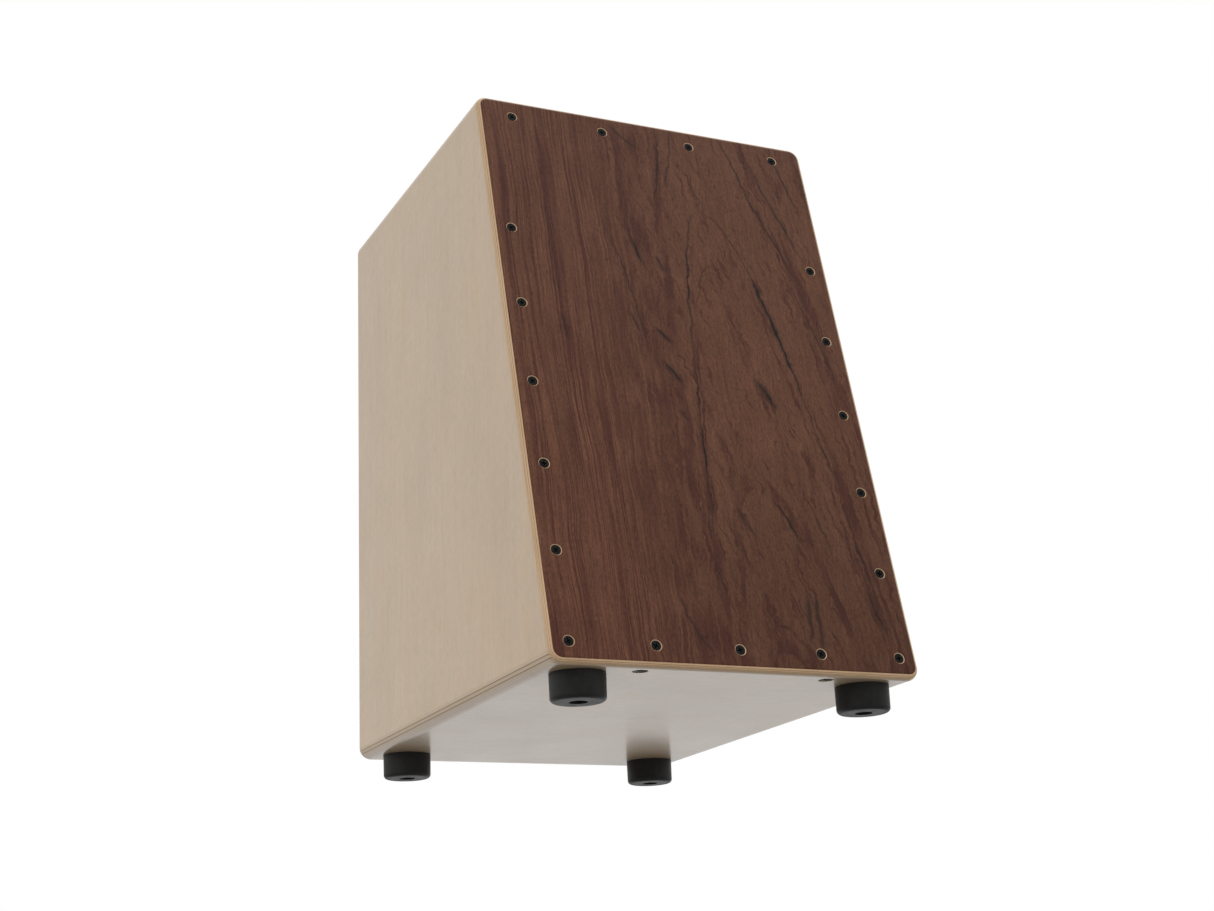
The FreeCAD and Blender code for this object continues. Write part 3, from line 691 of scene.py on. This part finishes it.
def lathe(start, direction, angles, profile, turn=0.0):
    """A closed skin round an axis. profile is a list of rings, each a radius, or one for each angle, and how
    far along the axis it is, in millimetres."""
    first = direction.orthogonal().normalized()
    second = direction.cross(first)
    count = len(angles)
    points, faces = [], []
    for radii, along in profile:
        centre = start + direction * (along * MM)
        for number, angle in enumerate(angles):
            radius = radii[number] if isinstance(radii, list) else radii
            outward = first * math.cos(angle + turn) + second * math.sin(angle + turn)
            points.append(centre + outward * (radius * MM))
    for ring in range(0, len(points) - count, count):
        for number in range(count):
            following = (number + 1) % count
            above, above_following = ring + count + number, ring + count + following
            faces.append((ring + number, ring + following, above_following, above))
    faces.append(tuple(reversed(range(count))))
    faces.append(tuple(range(len(points) - count, len(points))))
    return points, faces


def screws_of(node, direction):
    """Each screw of a CAD node: where its head starts, how long it is, and its head's radius."""
    widest = 0.0105  # wider than any head, and less than the gap between two screws
    points = points_of(node)
    along = points @ np.array(direction)
    flat = points - np.outer(along, np.array(direction))
    first = direction.orthogonal().normalized()
    second = direction.cross(first)
    waiting = np.ones(len(points), bool)
    found = []
    while waiting.any():
        seed = flat[waiting.argmax()]
        mine = waiting & (np.linalg.norm(flat - seed, axis=1) < widest)
        waiting &= ~mine
        centre = Vector((0, 0, 0))
        for side in (first, second):
            reach = flat[mine] @ np.array(side)
            centre += side * float(reach.min() + reach.max()) / 2
        radius = float(np.linalg.norm(flat[mine] - np.array(centre), axis=1).max())
        start = centre + direction * float(along[mine].min())
        length = float(along[mine].max() - along[mine].min())
        found.append((start, length / MM, radius / MM))
    return found


def cross_edge(angle, reach, half_width):
    """How far the edge of a plus sign is from its middle."""
    folded = abs((angle + math.pi / 4) % (math.pi / 2) - math.pi / 4)
    if math.tan(folded) <= half_width / reach:
        return reach / math.cos(folded)
    return half_width / math.sin(folded)


def screw_angles(reach, half_width):
    """Even steps, with the corners of the cross recess among them."""
    corner = math.atan2(half_width, reach)
    quarter = [-corner, corner, math.pi / 4] + [step * math.pi / 20 + 0.01 for step in range(-4, 5)]
    return sorted(turn * math.pi / 2 + angle for turn in range(4) for angle in quarter)


def cross_headed(start, direction, length, head, neck, shank_radius, tip, reach, recess_depth, turn):
    """A screw with a tapered cross recess. head is its outline from the face's edge to the neck."""
    half_width = reach * 0.22
    angles = screw_angles(reach, half_width)
    edge = [cross_edge(angle, reach, half_width) for angle in angles]

    def scaled(share, more=0.0):
        return [value * share + more for value in edge]

    profile = [
        (0.02, recess_depth),
        (scaled(0.3), recess_depth * 0.85),
        (scaled(0.62), recess_depth * 0.7),
        (scaled(0.97), 0.1),
        (scaled(1.0, 0.07), 0.0),
    ]
    profile += head
    profile += [(shank_radius, neck), (shank_radius, length - tip), (0.3, length)]
    return lathe(start, direction, angles, profile, turn)


def countersunk(start, direction, length, radius, turn):
    """radius is the CAD head's. The rim of this one lies a little inside it."""
    shank, tip = 2.0, 4.0
    reach, recess_depth = 2.25, 1.9
    head = [(radius - 0.3, 0.0), (radius - 0.14, 0.03), (radius - 0.1, 0.1)]
    neck = radius - shank
    return cross_headed(start, direction, length, head, neck, shank, tip, reach, recess_depth, turn)


def pan_headed(start, direction, length, radius, turn, shank, height, tip):
    """The head's top is domed, and its rim is square underneath."""
    outline = ((0.62, 0.0), (0.72, 0.03), (0.84, 0.12), (0.93, 0.26), (0.98, 0.42), (1.0, 0.6), (1.0, 1.0))
    head = [(radius * across, height * deep) for across, deep in outline]
    reach, recess_depth = radius * 0.55, height * 0.75
    return cross_headed(start, direction, length, head, height, shank, tip, reach, recess_depth, turn)


def hexagon_edge(angle, across_flats):
    folded = (angle + math.pi / 6) % (math.pi / 3) - math.pi / 6
    return across_flats / 2 / math.cos(folded)


def socket_screw(start, direction, length, radius):
    """An M6 socket head screw: knurled head, hexagon socket, and a thread along its shank."""
    head_height = 6.0
    across_flats, socket_depth, drill_depth = 5.0, 3.0, 3.6
    knurls, knurl_depth = 60, 0.16
    angles = [step * math.pi / knurls for step in range(2 * knurls)]
    socket = [hexagon_edge(angle, across_flats) for angle in angles]
    knurled = [radius - knurl_depth * (number % 2) for number in range(2 * knurls)]
    head = [
        (0.02, drill_depth),
        ([value * 0.93 for value in socket], socket_depth),
        (socket, socket_depth),
        (socket, 0.3),
        ([value + 0.3 for value in socket], 0.0),
        (radius - 0.55, 0.0),
        (radius - 0.35, 0.06),
        (radius - 0.22, 0.3),
        (knurled, 0.75),
        (knurled, head_height - 0.6),
        (radius - 0.2, head_height - 0.4),
        (radius - 0.2, head_height),
    ]
    pitch, ridge, groove = 1.0, 2.95, 2.38
    sides, steps = 24, 6
    turns = [step * math.tau / sides for step in range(sides)]
    shank = [(2.3, head_height - 0.5)]
    for step in range(int((length - head_height) * steps / pitch) + 1):
        along = head_height + step * pitch / steps
        fade = min(1.0, (length - along) / 1.0)
        radii = []
        for angle in turns:
            phase = (along / pitch - angle / math.tau) % 1.0
            share = abs(2 * phase - 1)  # 1 on the ridge
            radii.append(groove + (ridge - groove) * share * fade)
        shank.append((radii, along))
    shank.append((groove - 0.4, length))
    return [lathe(start, direction, angles, head), lathe(start, direction, turns, shank)]


def tube(path, radius, sides=12):
    """A round wire along points."""
    points, faces = [], []
    across = Vector((1, 0, 0))
    for number, point in enumerate(path):
        before = path[max(number - 1, 0)]
        after = path[min(number + 1, len(path) - 1)]
        heading = (after - before).normalized()
        across = (across - heading * across.dot(heading)).normalized()
        third = heading.cross(across)
        for side in range(sides):
            angle = side * math.tau / sides
            points.append(point + (across * math.cos(angle) + third * math.sin(angle)) * radius)
    for ring in range(0, len(points) - sides, sides):
        for side in range(sides):
            following = (side + 1) % sides
            above, above_following = ring + sides + side, ring + sides + following
            faces.append((ring + side, ring + following, above_following, above))
    faces.append(tuple(reversed(range(sides))))
    faces.append(tuple(range(len(points) - sides, len(points))))
    return points, faces


def arc(corner, before, after, radius, steps=8):
    """Points round a square corner, between the directions to the points before and after it."""
    towards_before = (before - corner).normalized()
    towards_after = (after - corner).normalized()
    centre = corner + (towards_before + towards_after) * radius
    turns = [step * math.pi / 2 / steps for step in range(steps + 1)]
    return [
        centre - towards_after * (radius * math.cos(turn)) - towards_before * (radius * math.sin(turn))
        for turn in turns
    ]


def add_strings(side_name):
    """Two snare strings, from under the carriage, up behind the plate and over the bracket."""
    node = "snare_strings_" + side_name
    wire_radius = 0.00045
    bend = 0.0012
    corners = points_of(node) @ np.array([(1, 0, 0), INTO_PLATE, SLOPE]).T
    carriage = points_of("tension_carriage_" + side_name) @ np.array([(1, 0, 0), INTO_PLATE, SLOPE]).T
    # The columns are now X, how deep behind the plate, and how far up it.
    low = corners[corners[:, 2] < carriage[:, 2].max()]
    high = corners[corners[:, 2] > corners[:, 2].max() - bend]
    depth = corners[:, 1].min() + wire_radius
    under, over = corners[:, 2].min() + wire_radius, corners[:, 2].max() - wire_radius
    tail, ball = low[:, 1].max(), high[:, 1].max()
    off_carriage, on_bracket = carriage[:, 2].max(), over - 2 * bend

    def at(x, deep, up):
        return Vector((x, 0, 0)) + INTO_PLATE * float(deep) + SLOPE * float(up)

    parts = []
    for outermost, inward in ((np.min, wire_radius), (np.max, -wire_radius)):
        low_x = float(outermost(low[:, 0])) + inward
        high_x = float(outermost(high[:, 0])) + inward
        path = [at(low_x, tail, under)]
        path += arc(at(low_x, depth, under), at(low_x, tail, under), at(low_x, depth, over), bend)
        rise_steps = 60
        for step in range(rise_steps + 1):
            share = step / rise_steps
            x = low_x + (high_x - low_x) * share
            path.append(at(x, depth, off_carriage + (on_bracket - off_carriage) * share))
        path += arc(at(high_x, depth, over), at(high_x, depth, under), at(high_x, ball, over), bend)
        path.append(at(high_x, ball, over))
        parts.append(tube(path, wire_radius))
    piece = add_piece("wound_strings_" + side_name, parts, node)
    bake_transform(piece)


def add_screws():
    """Screws with real recesses in their heads, each turned its own way."""
    # The way each kind goes in. A pan-headed kind also has its shank's radius, its head's height and how
    # long its tip is.
    small, clamp = (1.75, 2.2, 3.0), (1.5, 2.0, 0.5)
    kinds = {
        "front_plate_screws": (INTO_PLATE, None),
        "foot_screws": (Vector(Z), (2.0, 2.4, 4.0)),
        "carriage_guide_screws": (-INTO_PLATE, small),
        "string_bracket_screws": (-INTO_PLATE, small),
        "string_clamp_screws_left": (SLOPE, clamp),
        "string_clamp_screws_right": (SLOPE, clamp),
    }
    for node, (direction, pan_shape) in kinds.items():
        parts = []
        for number, (start, length, radius) in enumerate(screws_of(node, direction)):
            turn = number * 2.4  # radians, so that no two neighbours line up
            if pan_shape is None:
                parts.append(countersunk(start, direction, length, radius, turn))
            else:
                parts.append(pan_headed(start, direction, length, radius, turn, *pan_shape))
        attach(add_piece("cross_" + node, parts, node, 30), body_with(node))
    for side_name in ("left", "right"):
        node = "tension_screw_" + side_name
        [(start, length, radius)] = screws_of(node, SLOPE)
        piece = add_piece("socket_" + node, socket_screw(start, SLOPE, length, radius), node, 30)
        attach(piece, body_with(node))


add_screws()
add_strings("left")
add_strings("right")


# ---------------------------------------------------------------- stage, light and camera

CAMERA_TARGET = Vector((0.0012, 0.0, 0.2437))  # metres
CAMERA_LEFT = math.radians(25.27)  # how far left of straight in front
CAMERA_BELOW = math.radians(17.49)  # how far it looks up
CAMERA_ROLL = math.radians(2.54)
CAMERA_DISTANCE = 1.5856  # metres
CAMERA_LENS = 56.606  # millimetres, for a sensor 36 mm wide


def add_camera():
    towards = Vector((
        math.sin(CAMERA_LEFT) * math.cos(CAMERA_BELOW),
        math.cos(CAMERA_LEFT) * math.cos(CAMERA_BELOW),
        math.sin(CAMERA_BELOW),
    ))
    data = bpy.data.cameras.new("camera")
    data.lens = CAMERA_LENS
    data.sensor_width = 36
    camera = bpy.data.objects.new("camera", data)
    camera.location = CAMERA_TARGET - towards * CAMERA_DISTANCE
    camera.rotation_mode = "QUATERNION"
    level = towards.to_track_quat("-Z", "Y")
    camera.rotation_quaternion = Quaternion(towards, CAMERA_ROLL) @ level
    bpy.context.scene.collection.objects.link(camera)
    bpy.context.scene.camera = camera


def add_floor():
    """A pale floor that is seen from above only, so that the camera can look up through it."""
    reach = 6.0  # from the middle to each side, in metres
    mesh = bpy.data.meshes.new("floor")
    corners = [(-reach, -reach, 0), (reach, -reach, 0), (reach, reach, 0), (-reach, reach, 0)]
    mesh.from_pydata(corners, [], [(0, 1, 2, 3)])
    floor = bpy.data.objects.new("floor", mesh)
    bpy.context.scene.collection.objects.link(floor)
    shader = Shader("floor")
    matte = shader.node("BsdfDiffuse", {"Color": srgb(240, 239, 237)})
    clear = shader.node("BsdfTransparent")
    behind = shader.node("NewGeometry").outputs["Backfacing"]
    chosen = shader.node("MixShader", {0: behind, 1: matte.outputs[0], 2: clear.outputs[0]})
    shader.node("OutputMaterial", {"Surface": chosen.outputs[0]})
    mesh.materials.append(shader.material)
    floor.visible_diffuse = False
    floor.visible_glossy = False
    floor.visible_shadow = False


# The studio: its white backdrop is brightest low down behind the object, where the underside reflects it.
BACKDROP_WHITE = 1.0
GLOW_DIRECTION = Vector((0.41, 0.86, -0.30)).normalized()
GLOW = 0.75
BELOW = 0.24
FRONT = 0.30
BEHIND = 0.75
OVERHEAD = 0.45  # on top of the rest
KEY = {"from": (-0.85, -0.45, 0.30), "strength": 0.43, "angle": 50}
FILL = {"from": (0.85, -0.50, 0.10), "strength": 0.45, "angle": 50}


def add_world():
    """Seen directly, a plain white backdrop. As light, it is brighter overhead and behind."""
    world = bpy.data.worlds.new("studio")
    world.use_nodes = True
    shader = Shader.of_tree(world.node_tree)
    direction = shader.node("TexCoord").outputs["Generated"]
    deep, up = shader.split(direction)[1:]
    above = deep.ramp(-0.7, 0.3, FRONT, BEHIND) + up.ramp(0.6, 1.0) * OVERHEAD
    towards_glow = shader.node("VectorMath", {0: direction, 1: GLOW_DIRECTION}, operation="DOT_PRODUCT")
    glow = shader.field(towards_glow.outputs["Value"]).ramp(0.6, 0.95) * GLOW
    level = above * up.ramp(-0.15, 0.15) + up.ramp(0.15, -0.15) * BELOW + glow
    light = shader.node("Background", {"Color": (1, 1, 1, 1), "Strength": level})
    seen = shader.node("Background", {"Color": (1, 1, 1, 1), "Strength": BACKDROP_WHITE})
    by_camera = shader.node("LightPath").outputs["Is Camera Ray"]
    both = shader.node("MixShader", {0: by_camera, 1: light.outputs[0], 2: seen.outputs[0]})
    shader.node("OutputWorld", {"Surface": both.outputs[0]})
    bpy.context.scene.world = world


def add_lamp(name, lamp):
    """A wide, soft light from far away. Lacquer doesn't mirror it: only the backdrop is mirrored."""
    data = bpy.data.lights.new(name, "SUN")
    data.energy = lamp["strength"] * math.pi
    data.angle = math.radians(lamp["angle"])
    light = bpy.data.objects.new(name, data)
    light.visible_glossy = False
    light.rotation_mode = "QUATERNION"
    light.rotation_quaternion = Vector(lamp["from"]).to_track_quat("Z", "Y")
    bpy.context.scene.collection.objects.link(light)


add_camera()
add_floor()
add_world()
add_lamp("key", KEY)
add_lamp("fill", FILL)
bpy.context.scene.view_settings.view_transform = "Standard"
